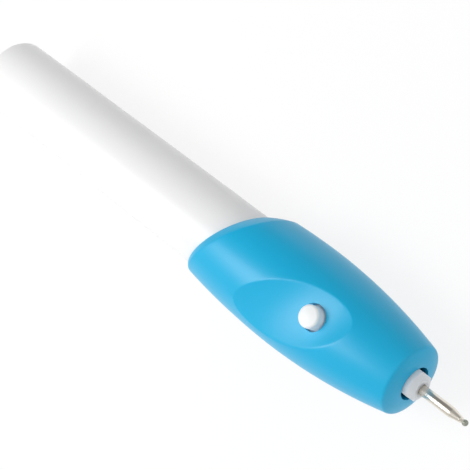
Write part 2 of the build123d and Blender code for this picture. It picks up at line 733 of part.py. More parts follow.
# Rotor core: hub, webs and pole shoes in one lamination outline
with BuildPart() as rotor_core:
    with BuildSketch(across(core_x)):
        Circle(CORE_HUB_R)
        with PolarLocations(0, POLES):
            Rectangle(CORE_R - SHOE_THICKNESS / 2, WEB_WIDTH, align=(Align.MIN, Align.CENTER))
        for pole in range(POLES):
            low = pole * 360 / POLES - SHOE_ANGLE / 2
            with BuildLine():
                inner = CenterArc((0, 0), CORE_R - SHOE_THICKNESS, low, SHOE_ANGLE)
                outer = CenterArc((0, 0), CORE_R, low, SHOE_ANGLE)
                Line(inner @ 0, outer @ 0)
                Line(inner @ 1, outer @ 1)
            make_face()
        Circle(SHAFT_R + RUNNING_GAP, mode=Mode.SUBTRACT)
    extrude(amount=CORE_LENGTH)
finish(rotor_core, "rotor_core")

# Rotor windings: one coil round each web
with BuildPart() as rotor_windings:
    for pole in range(POLES):
        spin = 360 * pole / POLES
        web = Plane(
            origin=(core_x + CORE_LENGTH / 2, COIL_INNER_R * cos(radians(spin)), COIL_INNER_R * sin(radians(spin))),
            x_dir=(1, 0, 0),
            z_dir=(0, cos(radians(spin)), sin(radians(spin))),
        )
        with BuildSketch(web):
            RectangleRounded(CORE_LENGTH + 2 * COIL_BUILD, WEB_WIDTH + 2 * COIL_BUILD, COIL_BUILD)
            Rectangle(CORE_LENGTH + 2 * RUNNING_GAP, WEB_WIDTH + 2 * RUNNING_GAP, mode=Mode.SUBTRACT)
        extrude(amount=COIL_OUTER_R - COIL_INNER_R)
finish(rotor_windings, "rotor_windings")

# Commutator: copper segments on a moulded hub
with BuildPart() as commutator_hub:
    with BuildSketch(across(commutator_x)):
        Circle(COMMUTATOR_HUB_R)
        Circle(SHAFT_R + RUNNING_GAP, mode=Mode.SUBTRACT)
    extrude(amount=COMMUTATOR_LENGTH)
finish(commutator_hub, "commutator_hub")

with BuildPart() as commutator:
    for pole in range(POLES):
        with BuildSketch(across(commutator_x)):
            with BuildLine():
                low = pole * 360 / POLES - SEGMENT_ANGLE / 2
                inner = CenterArc((0, 0), COMMUTATOR_HUB_R + RUNNING_GAP, low, SEGMENT_ANGLE)
                outer = CenterArc((0, 0), COMMUTATOR_R, low, SEGMENT_ANGLE)
                Line(inner @ 0, outer @ 0)
                Line(inner @ 1, outer @ 1)
            make_face()
        extrude(amount=COMMUTATOR_LENGTH)
finish(commutator, "commutator")

# Tool holder: turned collar with a coned face, two flats, a seat for the shaft and one for the bit
flat_start_x = holder_front_x - flat_share * holder_length

with BuildPart() as tool_holder:
    with BuildSketch(Plane.XY):
        with BuildLine():
            Polyline(
                (holder_rear_x, 0),
                (holder_rear_x, HOLDER_R - HOLDER_EDGE),
                (holder_rear_x + HOLDER_EDGE, HOLDER_R),
                (holder_front_x - HOLDER_CONE, HOLDER_R),
                (holder_front_x, HOLDER_FACE_R),
                (holder_front_x, 0),
                close=True,
            )
        make_face()
    revolve(axis=Axis.X)
    fillet(tool_holder.edges().filter_by(GeomType.CIRCLE).group_by(Axis.X)[-2], HOLDER_EDGE)
    fillet(tool_holder.faces().sort_by(Axis.X)[-1].edges(), HOLDER_EDGE)
    for side in (0, 180):
        with BuildSketch(across(flat_start_x)):
            with PolarLocations(0, 1, start_angle=FLAT_ANGLE + side):
                with Locations((HOLDER_HALF_FLAT, 0)):
                    Rectangle(HOLDER_R, 2 * HOLDER_R, align=(Align.MIN, Align.CENTER))
        extrude(amount=holder_front_x + OVERRUN - flat_start_x, mode=Mode.SUBTRACT)
    with BuildSketch(across(holder_rear_x)):
        Circle(SHAFT_R + RUNNING_GAP)
    extrude(amount=shaft_seat, mode=Mode.SUBTRACT)
    with BuildSketch(across(bit_rear_x)):
        Circle(SHANK_R + RUNNING_GAP)
    extrude(amount=bit_seat, mode=Mode.SUBTRACT)
finish(tool_holder, "tool_holder")

# Engraving bit: shank with a groove near its hidden end, a short cone, a taper and a neck
shank_end_x = holder_front_x + SHANK_STAND
cone_end = shank_end_x + CONE_LENGTH
taper_end = cone_end + TAPER_LENGTH
head_centre_x = taper_end + HEAD_FROM_TAPER
neck_end_x = head_centre_x - sqrt(HEAD_R**2 - NECK_R**2)
groove_x = bit_rear_x + GROOVE_LENGTH

with BuildPart() as engraving_bit:
    with BuildSketch(Plane.XY):
        with BuildLine():
            Polyline(
                (bit_rear_x + SEAT_GAP, 0),
                (bit_rear_x + SEAT_GAP, SHANK_R - GROOVE_DEPTH),
                (bit_rear_x + SEAT_GAP + GROOVE_DEPTH, SHANK_R),
                (groove_x, SHANK_R),
                (groove_x, SHANK_R - GROOVE_DEPTH),
                (groove_x + GROOVE_LENGTH, SHANK_R - GROOVE_DEPTH),
                (groove_x + GROOVE_LENGTH, SHANK_R),
                (shank_end_x, SHANK_R),
                (cone_end, CONE_R),
                (taper_end, TAPER_R),
                (taper_end, NECK_R),
                (neck_end_x, NECK_R),
                (neck_end_x, 0),
                close=True,
            )
        make_face()
    revolve(axis=Axis.X)
finish(engraving_bit, "engraving_bit")

# Diamond head: an abrasive ball on the neck
with BuildPart() as diamond_head:
    with Locations((head_centre_x, 0, 0)):
        Sphere(HEAD_R)
    split(bisect_by=across(neck_end_x), keep=Keep.TOP)
finish(diamond_head, "diamond_head")

# Push button: flange under the housing, stem and a low crown
button_top = DISH_FLOOR + BUTTON_STAND + BUTTON_ROUND

with BuildPart() as button:
    with BuildSketch(Plane.XZ):
        with BuildLine():
            Polyline(
                (button_x, button_top + BUTTON_CROWN),
                (button_x, flange_bottom_z),
                (button_x + FLANGE_R, flange_bottom_z),
                (button_x + FLANGE_R, flange_top_z),
                (button_x + BUTTON_R, flange_top_z),
                (button_x + BUTTON_R, button_top - BUTTON_ROUND),
            )
            RadiusArc(
                (button_x + BUTTON_R, button_top - BUTTON_ROUND),
                (button_x + BUTTON_R - BUTTON_ROUND, button_top),
                -BUTTON_ROUND,
            )
            crown_r = ((BUTTON_R - BUTTON_ROUND) ** 2 + BUTTON_CROWN**2) / (2 * BUTTON_CROWN)
            RadiusArc(
                (button_x + BUTTON_R - BUTTON_ROUND, button_top),
                (button_x, button_top + BUTTON_CROWN),
                -crown_r,
            )
        make_face()
    revolve(axis=Axis((button_x, 0, 0), (0, 0, 1)))
finish(button, "button")

# Switch leaf: clamped on its pad, rising to lie under the button's flange
pad_x = disc_front_x + LEAF_PAD_FROM_DISC
leaf_top_x = button_x - LEAF_TOP_HALF
leaf_end_x = button_x + LEAF_TOP_HALF

with BuildPart() as switch_leaf:
    with BuildSketch(Plane.XZ):
        with BuildLine():
            Polyline(
                (pad_x, leaf_base_z),
                (pad_x + LEAF_BASE, leaf_base_z),
                (leaf_top_x, flange_bottom_z - LEAF),
                (leaf_end_x, flange_bottom_z - LEAF),
                (leaf_end_x, flange_bottom_z),
                (leaf_top_x, flange_bottom_z),
                (pad_x + LEAF_BASE, leaf_base_z + LEAF),
                (pad_x, leaf_base_z + LEAF),
                close=True,
            )
        make_face()
    extrude(amount=LEAF_HALF_WIDTH, both=True)
finish(switch_leaf, "switch_leaf")

# Switch contact: a pad under the leaf, a strip along the deck and a leg down to the motor's tag
strip_outer_y = -TAG_OFFSET - TAG_WIDTH / 2
strip_inner_y = -TAG_OFFSET + TAG_WIDTH / 2
leg_x = motor_rear_x - TAG_STAND - LEAF

with BuildPart() as switch_contact:
    with BuildSketch(Plane.XY.offset(deck_top)):
        with BuildLine():
            Polyline(
                (leg_x, strip_outer_y),
                (button_x + CONTACT_HALF, strip_outer_y),
                (button_x + CONTACT_HALF, LEAF_HALF_WIDTH),
                (button_x - CONTACT_HALF, LEAF_HALF_WIDTH),
                (button_x - CONTACT_HALF, strip_inner_y),
                (leg_x, strip_inner_y),
                close=True,
            )
        make_face()
    extrude(amount=CONTACT_STRIP)
    with BuildSketch(across(leg_x)):
        with Locations((-TAG_OFFSET, tag_z - TAG_THICKNESS / 2)):
            Rectangle(TAG_WIDTH, deck_top - tag_z + TAG_THICKNESS / 2, align=(Align.CENTER, Align.MIN))
    extrude(amount=LEAF)
finish(switch_contact, "switch_contact")


# Leads: round wires along straight runs joined by arcs
def build_lead(route, name):
    """A lead along the route, with each bend of the same radius."""
    with BuildPart() as lead:
        with BuildLine():
            path = FilletPolyline(*route, radius=LEAD_BEND)
        with BuildSketch(Plane(origin=path @ 0, z_dir=path % 0)):
            Circle(LEAD_R)
        sweep()
    finish(lead, name)


lead_z = leaf_base_z + LEAF / 2
build_lead(
    [
        (block_x, LEAD_NOTCH_HALF / 2, lead_z + LEAF),
        (block_x + SLED_BLOCK / 2, LEAD_NOTCH_HALF / 2, lead_z + LEAF),
        (disc_front_x, -LEAD_NOTCH_HALF / 3, lead_z + LEAF),
        (pad_x, 0, lead_z + LEAF),
    ],
    "lead_positive",
)
build_lead(
    [
        (strip_front_x, LEAD_R, strip_top_z - STRIP / 2),
        (strip_front_x + LEAD_BEND, LEAD_R, strip_top_z - STRIP / 2),
        (disc_front_x - LEAD_BEND, TAG_OFFSET, -tag_z),
        (motor_rear_x - TAG_STAND, TAG_OFFSET, -tag_z),
    ],
    "lead_negative",
)
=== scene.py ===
"""Looks of a battery engraving pen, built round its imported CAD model.

The pen lies along X with the push button up. The barrel and the grip are moulded shells, the tool
holder and the bit turn together, and the power pack and the drive fill the inside. Lengths are in
metres and angles in degrees.
"""

from __future__ import annotations

import logging
import math
from dataclasses import dataclass, field
from enum import Enum

import bmesh
import bpy
from mathutils import Matrix, Vector


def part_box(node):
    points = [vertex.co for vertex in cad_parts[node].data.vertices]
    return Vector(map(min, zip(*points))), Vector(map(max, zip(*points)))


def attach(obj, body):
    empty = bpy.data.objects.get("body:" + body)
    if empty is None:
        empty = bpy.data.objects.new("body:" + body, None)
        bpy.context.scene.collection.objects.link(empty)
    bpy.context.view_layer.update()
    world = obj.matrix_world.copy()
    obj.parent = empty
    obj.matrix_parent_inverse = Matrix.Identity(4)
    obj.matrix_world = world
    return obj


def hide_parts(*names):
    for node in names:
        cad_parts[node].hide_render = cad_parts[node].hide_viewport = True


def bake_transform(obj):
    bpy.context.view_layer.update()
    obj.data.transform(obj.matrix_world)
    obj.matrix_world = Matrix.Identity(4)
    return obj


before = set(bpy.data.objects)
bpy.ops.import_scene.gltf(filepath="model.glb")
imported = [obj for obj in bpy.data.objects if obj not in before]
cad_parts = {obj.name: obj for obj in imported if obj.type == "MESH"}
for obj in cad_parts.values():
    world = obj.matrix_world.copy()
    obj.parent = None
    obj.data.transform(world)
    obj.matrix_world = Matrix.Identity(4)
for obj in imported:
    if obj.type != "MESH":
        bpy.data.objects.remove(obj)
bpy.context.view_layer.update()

Colour = tuple[float, float, float, float]
Place = tuple[float, float, float]
Given = float | bpy.types.NodeSocket

MM = 0.001
# Points that are closer than this are one point: in a CAD node's loose triangles, and in a mesh
# that Geometry Nodes made.
CAD_MERGE = 0.001 * MM
GROWN_MERGE = 0.0001 * MM
# The scale of a pattern along its marks, which makes them a hundred times as long as wide.
LONG_WAY = 0.01
WHITE_LIGHT: Colour = (1.0, 1.0, 1.0, 1.0)


class Body(Enum):
    """The pen's rigid bodies."""

    PEN = "pen"
    BARREL = "barrel"
    ROTOR = "rotor"
    BIT = "bit"
    BUTTON = "button"


class Lay(Enum):
    """Which way the marks on a metal run, as the scale of their pattern on X, Y and Z."""

    ROUND = (1.0, LONG_WAY, LONG_WAY)
    ALONG = (LONG_WAY, 1.0, 1.0)
    NONE = (1.0, 1.0, 1.0)


class Leaving(Enum):
    """Which way a turned profile sets off before it bends."""

    OUTWARD = "square to the axis"
    FORWARD = "along the axis"


def linear(code: str) -> Colour:
    """Turn an sRGB hex value into a linear colour.

    Args:
        code: Six hex digits after a hash.

    Returns:
        Red, green, blue and an alpha of 1, in linear light.
    """
    shares = [int(code[i : i + 2], 16) / 255 for i in (1, 3, 5)]
    red, green, blue = (
        share / 12.92 if share <= 0.04045 else ((share + 0.055) / 1.055) ** 2.4
        for share in shares
    )
    return red, green, blue, 1.0


def add_node(
    tree: bpy.types.NodeTree,
    kind: str,
    inputs: dict[str | int, object] | None = None,
    **settings: object,
) -> bpy.types.Node:
    """Add one node with its settings and links.

    Args:
        tree: The node tree that the node goes into.
        kind: The node's type name.
        inputs: Input names or numbers, each with a value or with the output that feeds it.
        **settings: The node's own options.

    Returns:
        The new node.
    """
    node = tree.nodes.new(kind)
    for name, value in settings.items():
        setattr(node, name, value)
    for key, value in (inputs or {}).items():
        if isinstance(value, bpy.types.NodeSocket):
            tree.links.new(value, node.inputs[key])
        else:
            node.inputs[key].default_value = value
    return node


@dataclass(frozen=True)
class Finish:
    """A surface as it left the mould, the die or the lathe."""

    name: str
    slot: str
    base: str
    tint: str
    roughness: float

    def material(self) -> bpy.types.Material:
        """Make the finish's material, or fetch the one made before.

        Returns:
            The material that bears the finish's name.
        """
        if self.name in bpy.data.materials:
            return bpy.data.materials[self.name]
        material = bpy.data.materials.new(self.name)
        material.use_nodes = True
        tree = material.node_tree
        tree.nodes.clear()
        shader = add_node(tree, "ShaderNodeBsdfPrincipled")
        add_node(tree, "ShaderNodeOutputMaterial", {"Surface": shader.outputs["BSDF"]})
        self.dress(tree, shader)
        return material

    def dress(self, tree: bpy.types.NodeTree, shader: bpy.types.Node) -> None:
        """Add the finish's own nodes in front of the shader.

        Args:
            tree: The material's node tree.
            shader: Its Principled shader.
        """
        raise NotImplementedError

    def vary(
        self,
        tree: bpy.types.NodeTree,
        shader: bpy.types.Node,
        pattern: bpy.types.NodeSocket,
        spread: float,
    ) -> None:
        """Let one pattern shift the surface's tone and its gloss together.

        Args:
            tree: The material's node tree.
            shader: Its Principled shader.
            pattern: An output that runs from 0 to 1 over the surface.
            spread: By how much the roughness differs between 0 and 1.
        """
        tone = add_node(
            tree,
            "ShaderNodeMix",
            {"Factor": pattern, "A": linear(self.base), "B": linear(self.tint)},
            data_type="RGBA",
        )
        low, high = self.roughness - spread / 2, self.roughness + spread / 2
        gloss = add_node(
            tree, "ShaderNodeMapRange", {"Value": pattern, "To Min": low, "To Max": high}
        )
        tree.links.new(tone.outputs["Result"], shader.inputs["Base Color"])
        tree.links.new(gloss.outputs["Result"], shader.inputs["Roughness"])


@dataclass(frozen=True)
class Moulded(Finish):
    """A plastic or ceramic skin that left its mould clean, a little uneven in tone and gloss.

    A real mould's grain is under 0.1 mm wide. It is drawn wider, so that it shows.
    """

    ior: float = 1.54
    shine: float = 0.5
    cloud: float = 9 * MM
    cloud_detail: float = 3.0
    grain: float = 0.25 * MM
    grain_detail: float = 2.0
    grain_depth: float = 0.002 * MM
    gloss_spread: float = 0.06
    translucence: float = 0.0
    light_depth: float = 0.6 * MM
    light_shares: Place = (1.0, 0.95, 0.85)

    def dress(self, tree: bpy.types.NodeTree, shader: bpy.types.Node) -> None:
        """Add soft clouds of tone and gloss, and the mould's fine grain.

        Args:
            tree: The material's node tree.
            shader: Its Principled shader.
        """
        place = add_node(tree, "ShaderNodeTexCoord").outputs["Object"]
        clouds = add_node(
            tree,
            "ShaderNodeTexNoise",
            {"Vector": place, "Scale": 1 / self.cloud, "Detail": self.cloud_detail},
        )
        self.vary(tree, shader, clouds.outputs["Fac"], self.gloss_spread)
        grain = add_node(
            tree,
            "ShaderNodeTexNoise",
            {"Vector": place, "Scale": 1 / self.grain, "Detail": self.grain_detail},
        )
        bump = add_node(
            tree, "ShaderNodeBump", {"Height": grain.outputs["Fac"], "Distance": self.grain_depth}
        )
        tree.links.new(bump.outputs["Normal"], shader.inputs["Normal"])
        shader.inputs["IOR"].default_value = self.ior
        shader.inputs["Specular IOR Level"].default_value = self.shine
        shader.inputs["Subsurface Weight"].default_value = self.translucence
        shader.inputs["Subsurface Scale"].default_value = self.light_depth
        shader.inputs["Subsurface Radius"].default_value = self.light_shares


@dataclass(frozen=True)
class BareMetal(Finish):
    """Turned, rolled, drawn or sintered metal with the marks that its making left.

    Real marks of grinding, rolling and drawing are under 0.05 mm wide. A finish without a pitch of
    its own has them 0.12 mm wide, so that they show.
    """

    lay: Lay
    pitch: float = 0.12 * MM
    depth: float = 0.002 * MM
    gloss_spread: float = 0.12
    mark_detail: float = 3.0
    mark_roughness: float = 0.6

    def dress(self, tree: bpy.types.NodeTree, shader: bpy.types.Node) -> None:
        """Add marks that run round, run along or lie scattered, in tone, gloss and relief.

        Args:
            tree: The material's node tree.
            shader: Its Principled shader.
        """
        place = add_node(tree, "ShaderNodeTexCoord").outputs["Object"]
        laid = add_node(tree, "ShaderNodeMapping", {"Vector": place, "Scale": self.lay.value})
        marks = add_node(
            tree,
            "ShaderNodeTexNoise",
            {
                "Vector": laid.outputs["Vector"],
                "Scale": 1 / self.pitch,
                "Detail": self.mark_detail,
                "Roughness": self.mark_roughness,
            },
        ).outputs["Fac"]
        self.vary(tree, shader, marks, self.gloss_spread)
        bump = add_node(tree, "ShaderNodeBump", {"Height": marks, "Distance": self.depth})
        tree.links.new(bump.outputs["Normal"], shader.inputs["Normal"])
        shader.inputs["Metallic"].default_value = 1.0


# Injection-moulded ABS with a polished mould: a white, clean skin with a soft, broad highlight.
BARREL_WHITE = Moulded(
    "gloss white ABS",
    "white_gloss",
    "#F6F6F6",
    "#F4F4F4",
    0.30,
    shine=0.25,
    cloud=14 * MM,
    grain_depth=0.001 * MM,
)
# Injection-moulded ABS with a satin mould: saturated blue, a soft sheen and no mirror highlight.
GRIP_BLUE = Moulded(
    "satin blue ABS", "blue_satin", "#15B3E1", "#11AFDE", 0.36, ior=1.5, shine=0.42, cloud=10 * MM
)
# The same white ABS on a small, finely spark-eroded cap: less gloss than the barrel, and light
# passes its edge.
BUTTON_WHITE = Moulded(
    "fine-matt white ABS",
    "white_gloss",
    "#F4F7F9",
    "#EFF2F4",
    0.45,
    cloud=3 * MM,
    translucence=0.5,
    light_depth=1 * MM,
)
# Inner mouldings of white ABS from an unpolished mould: matt, a little warmer and duller.
INNER_WHITE = Moulded(
    "matt white ABS",
    "white_matt",
    "#E4E4DF",
    "#DCDCD6",
    0.55,
    cloud=6 * MM,
    grain=0.4 * MM,
    grain_depth=0.006 * MM,
)
# Turned natural nylon: a greyish, faintly see-through white that lets light in at its edges.
HOLDER_NYLON = Moulded(
    "natural nylon", "nylon", "#EAEFF3", "#E0E6EC", 0.38, ior=1.53, cloud=4 * MM, translucence=0.3
)
# Glass-filled black moulding of the motor's end: dull, with a faint fleck of fibre.
MOTOR_BLACK = Moulded(
    "glass-filled black nylon", "black_moulding", "#1B1C1E", "#242528", 0.5, cloud=2 * MM
)
# Extruded PVC insulation: soft sheen and an even colour.
RED_PVC = Moulded("red PVC insulation", "red_insulation", "#B3211E", "#A81C1A", 0.35, cloud=2 * MM)
BLACK_PVC = Moulded(
    "black PVC insulation", "black_insulation", "#17181A", "#1E1F21", 0.35, cloud=2 * MM
)
# Shrunk film on a dry cell: smooth and shiny, printed in one tone with a paler ring.
FILM_DARK = Moulded(
    "graphite shrink film",
    "cell_jacket",
    "#34373C",
    "#2F3237",
    0.2,
    cloud=12 * MM,
    gloss_spread=0.1,
)
FILM_PALE = Moulded(
    "pale shrink film", "cell_jacket", "#B9BDC0", "#B3B7BB", 0.2, cloud=12 * MM, gloss_spread=0.1
)
# Fibre washer round a cell's nub: dull, warm grey.
WASHER_FIBRE = Moulded(
    "fibre washer", "cell_jacket", "#8C8880", "#7F7B73", 0.8, cloud=1 * MM, grain_depth=0.01 * MM
)
# Sintered ferrite: a ceramic that is charcoal grey and dull, with a gritty skin.
FERRITE = Moulded(
    "sintered ferrite",
    "ferrite",
    "#3A3B3D",
    "#2E2F31",
    0.75,
    ior=2.0,
    grain=0.3 * MM,
    grain_depth=0.01 * MM,
)
# Centreless-ground tool steel: bright, warm and softly shiny, with faint rings round it. Real
# rings are about 0.02 mm wide, and are drawn 0.12 mm wide so that they show.
SHANK_STEEL = BareMetal(
    "ground tool steel",
    "shaft_steel",
    "#F4EEE3",
    "#E6DFD3",
    0.29,
    Lay.ROUND,
    depth=0.0002 * MM,
    gloss_spread=0.04,
)
# Drawn spring wire: bright grey with scattered drawing marks.
SPRING_WIRE = BareMetal("drawn spring steel", "spring_steel", "#B9BBBE", "#A3A5A8", 0.3, Lay.NONE)
# Nickel-plated strip: a warm, pale grey with rolling lines along it.
NICKELLED = BareMetal(
    "nickelled steel strip", "nickelled_strip", "#D2CDC2", "#C4BFB4", 0.28, Lay.ALONG
)
# Nickel-plated steel of a cell's ends: bright, with the small marks of handling.
CELL_STEEL = BareMetal(
    "nickelled cell steel", "cell_jacket", "#C9CBCC", "#B7B9BA", 0.25, Lay.NONE, pitch=0.6 * MM
)
# Drawn and zinc-plated motor can: pale grey with the zinc's soft mottle, about 0.5 mm across.
CAN_STEEL = BareMetal(
    "zinc-plated can steel", "motor_steel", "#BFC2C4", "#ABAEB1", 0.32, Lay.NONE, pitch=0.5 * MM
)
# Stacked silicon-steel laminations: dark steel with a line at each 0.35 mm sheet.
LAMINATED = BareMetal(
    "stacked laminations",
    "motor_steel",
    "#8D9094",
    "#5E6165",
    0.4,
    Lay.ROUND,
    pitch=0.35 * MM,
    depth=0.02 * MM,
)
# Rolled brass, stamped to shape: yellow, with rolling lines along it.
BRASS = BareMetal("stamped brass", "brass", "#D9B561", "#CCA853", 0.28, Lay.ALONG)
# Sintered bronze, soaked in oil: brown, dark and porous. Real pores are about 0.03 mm wide, and
# are drawn 0.2 mm wide so that they show.
BRONZE = BareMetal(
    "sintered bronze",
    "bronze",
    "#A97C50",
    "#8A6340",
    0.5,
    Lay.NONE,
    pitch=0.2 * MM,
    depth=0.01 * MM,
)
# Enamelled copper wire: deep orange-brown under a clear coat, so each turn keeps a glint.
COPPER_WIRE = BareMetal(
    "enamelled copper wire", "copper_wire", "#B4562B", "#9C4722", 0.25, Lay.NONE
)
# Turned copper of the commutator: salmon and bright where the brushes run.
COPPER_BAR = BareMetal("turned copper", "copper_wire", "#C97B55", "#B96A45", 0.3, Lay.ROUND)
# Tinned wire and solder: pale, warm grey and soft in gloss.
RED_TINNED = BareMetal(
    "tinned wire of the red lead", "red_insulation", "#C8C8C4", "#B4B4B0", 0.3, Lay.NONE
)
BLACK_TINNED = BareMetal(
    "tinned wire of the black lead", "black_insulation", "#C8C8C4", "#B4B4B0", 0.3, Lay.NONE
)
# Diamond grit held in nickel plate: grey-green, sparkling and rough. Its specks are about as wide
# as real grit of 0.1 mm.
GRIT = BareMetal(
    "nickel-bonded diamond grit",
    "diamond_grit",
    "#D2D4C8",
    "#9A9F94",
    0.45,
    Lay.NONE,
    pitch=0.08 * MM,
)


def place_piece(name: str, data: bpy.types.ID) -> bpy.types.Object:
    """Put a mesh, a lamp or a camera into the scene at the origin.

    Args:
        name: The new object's name.
        data: Its mesh, with its place in its points, or its lamp or camera.

    Returns:
        The object.
    """
    piece = bpy.data.objects.new(name, data)
    bpy.context.scene.collection.objects.link(piece)
    return piece


def hand_over(piece: bpy.types.Object, node: str, body: Body) -> bpy.types.Object:
    """Let a piece stand for a CAD node and ride on its body.

    Args:
        piece: The finished piece.
        node: The CAD node that it replaces.
        body: The body that it moves with.

    Returns:
        The same piece.
    """
    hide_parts(node)
    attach(piece, body.value)
    return piece


def dress_nodes(finishes: dict[str, Finish]) -> None:
    """Give CAD nodes whose shape is right their finishes.

    Args:
        finishes: The finish of each node, by the node's name.
    """
    for name, finish in finishes.items():
        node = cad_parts[name]
        for slot in node.material_slots:
            slot.material = finish.material()
        logging.info("%s: CAD node in %s", name, finish.name)


def keep_mesh(work: bmesh.types.BMesh, mesh: bpy.types.Mesh, sharp: float) -> None:
    """Write a worked mesh back and shade it smooth.

    Args:
        work: The mesh at work, which ends here.
        mesh: The mesh that keeps it.
        sharp: The angle from which an edge stays sharp.
    """
    work.to_mesh(mesh)
    work.free()
    mesh.shade_smooth()
    mesh.set_sharp_from_angle(angle=math.radians(sharp))


def smooth_copy(node: str, piece: str, finish: Finish, sharp: float) -> bpy.types.Object:
    """Copy a CAD node's mesh, join its loose triangles and shade it smooth.

    Args:
        node: The node to copy.
        piece: The new piece's name.
        finish: Its finish.
        sharp: The angle from which an edge stays sharp.

    Returns:
        The piece, which rides on nothing yet.
    """
    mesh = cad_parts[node].data.copy()
    work = bmesh.new()
    work.from_mesh(mesh)
    bmesh.ops.remove_doubles(work, verts=work.verts, dist=CAD_MERGE)
    keep_mesh(work, mesh, sharp)
    mesh.materials.clear()
    mesh.materials.append(finish.material())
    return place_piece(piece, mesh)


def skin(node: str, piece: str, body: Body, finish: Finish, sharp: float) -> bpy.types.Object:
    """Let a smooth copy stand for its CAD node and ride on one body.

    Args:
        node: The node to copy and replace.
        piece: The new piece's name.
        body: The body that it moves with.
        finish: Its finish.
        sharp: The angle from which an edge stays sharp.

    Returns:
        The piece.
    """
    return hand_over(smooth_copy(node, piece, finish, sharp), node, body)


@dataclass
class Turned:
    """A round piece about the pen's axis: a profile with a finish for each stretch, spun on X."""

    start: tuple[float, float]
    around: int = 96
    bend_steps: int = 8
    points: list[tuple[float, float]] = field(init=False)
    finishes: list[Finish] = field(init=False)

    def __post_init__(self) -> None:
        """Begin the profile at its start."""
        self.points, self.finishes = [self.start], []

    def to(self, x: float, radius: float, finish: Finish) -> None:
        """Carry the profile straight on to a place along the axis and a radius."""
        self.points.append((x, radius))
        self.finishes.append(finish)

    def bend(self, x: float, radius: float, finish: Finish, leaving: Leaving) -> None:
        """Carry the profile on round a quarter of an ellipse.

        Args:
            x: Where the bend ends along the axis.
            radius: Its radius there.
            finish: The finish of the bend.
            leaving: Which way it sets off.
        """
        from_x, from_radius = self.points[-1]
        for step in range(1, self.bend_steps + 1):
            turn = math.pi / 2 * step / self.bend_steps
            early, late = math.sin(turn), 1 - math.cos(turn)
            along, out = (late, early) if leaving is Leaving.OUTWARD else (early, late)
            step_x = from_x + (x - from_x) * along
            self.to(step_x, from_radius + (radius - from_radius) * out, finish)

    def spin(self, name: str, sharp: float) -> bpy.types.Object:
        """Spin the profile into a closed mesh.

        Args:
            name: The piece's name.
            sharp: The angle from which an edge stays sharp.

        Returns:
            The piece, which rides on nothing yet.
        """
        work = bmesh.new()
        rings = []
        for x, radius in self.points:
            ring = []
            for step in range(self.around if radius else 1):
                turn = 2 * math.pi * step / self.around
                ring.append(work.verts.new((x, radius * math.cos(turn), radius * math.sin(turn))))
            rings.append(ring)
        kinds = list(dict.fromkeys(self.finishes))
        for behind, ahead, finish in zip(rings, rings[1:], self.finishes):
            for step in range(self.around):
                corners = (
                    behind[step % len(behind)],
                    behind[(step + 1) % len(behind)],
                    ahead[(step + 1) % len(ahead)],
                    ahead[step % len(ahead)],
                )
                work.faces.new(dict.fromkeys(corners)).material_index = kinds.index(finish)
        mesh = bpy.data.meshes.new(name)
        keep_mesh(work, mesh, sharp)
        for finish in kinds:
            mesh.materials.append(finish.material())
        return place_piece(name, mesh)


@dataclass
class Grown:
    """A Geometry Nodes tree with named inputs, and the plain mesh that it makes."""

    name: str
    sizes: dict[str, float | int]
    finish: Finish

    def __post_init__(self) -> None:
        """Start the tree with its inputs."""
        self.tree = bpy.data.node_groups.new(self.name, "GeometryNodeTree")
        sockets = {"Geometry": "NodeSocketGeometry"}
        for title, size in self.sizes.items():
            sockets[title] = "NodeSocketInt" if isinstance(size, int) else "NodeSocketFloat"
        sockets["Finish"] = "NodeSocketMaterial"
        for title, kind in sockets.items():
            self.tree.interface.new_socket(title, in_out="INPUT", socket_type=kind)
        self.tree.interface.new_socket(
            "Geometry", in_out="OUTPUT", socket_type="NodeSocketGeometry"
        )
        self.given = self.add("NodeGroupInput").outputs

    def add(
        self, kind: str, inputs: dict[str | int, object] | None = None, **settings: object
    ) -> bpy.types.Node:
        """Add a node to the tree and return it."""
        return add_node(self.tree, kind, inputs, **settings)

    def work_out(
        self, operation: str, first: Given, second: Given = 0.0, third: Given = 0.0
    ) -> bpy.types.NodeSocket:
        """Add one sum to the tree.

        Args:
            operation: The Math node's operation.
            first: Its first value, or the output that gives it.
            second: Its second value or output.
            third: Its third value or output.

        Returns:
            The result's output.
        """
        values = {0: first, 1: second, 2: third}
        return self.add("ShaderNodeMath", values, operation=operation).outputs[0]

    def grow(
        self,
        shape: bpy.types.NodeSocket,
        sharp: float,
        seed_piece: bpy.types.Object | None = None,
    ) -> bpy.types.Object:
        """End the tree, run it and keep its result as a plain mesh.

        Args:
            shape: The geometry that the tree has made.
            sharp: The angle from which an edge stays sharp.
            seed_piece: The piece that the tree works on, or None for a new one.

        Returns:
            The piece, which rides on nothing yet.
        """
        real = self.add("GeometryNodeRealizeInstances", {"Geometry": shape}).outputs[0]
        dressed = self.add(
            "GeometryNodeSetMaterial", {"Geometry": real, "Material": self.given["Finish"]}
        )
        self.add("NodeGroupOutput", {"Geometry": dressed.outputs[0]})
        piece = seed_piece or place_piece(self.name, bpy.data.meshes.new(self.name))
        modifier = piece.modifiers.new(self.name, "NODES")
        modifier.node_group = self.tree
        values = {**self.sizes, "Finish": self.finish.material()}
        for item in self.tree.interface.items_tree:
            if item.in_out == "INPUT" and item.name in values:
                modifier[item.identifier] = values[item.name]
        graph = bpy.context.evaluated_depsgraph_get()
        mesh = bpy.data.meshes.new_from_object(piece.evaluated_get(graph), depsgraph=graph)
        piece.modifiers.clear()
        work = bmesh.new()
        work.from_mesh(mesh)
        bmesh.ops.remove_doubles(work, verts=work.verts, dist=GROWN_MERGE)
        bmesh.ops.recalc_face_normals(work, faces=work.faces)
        keep_mesh(work, mesh, sharp)
        piece.data = mesh
        return piece


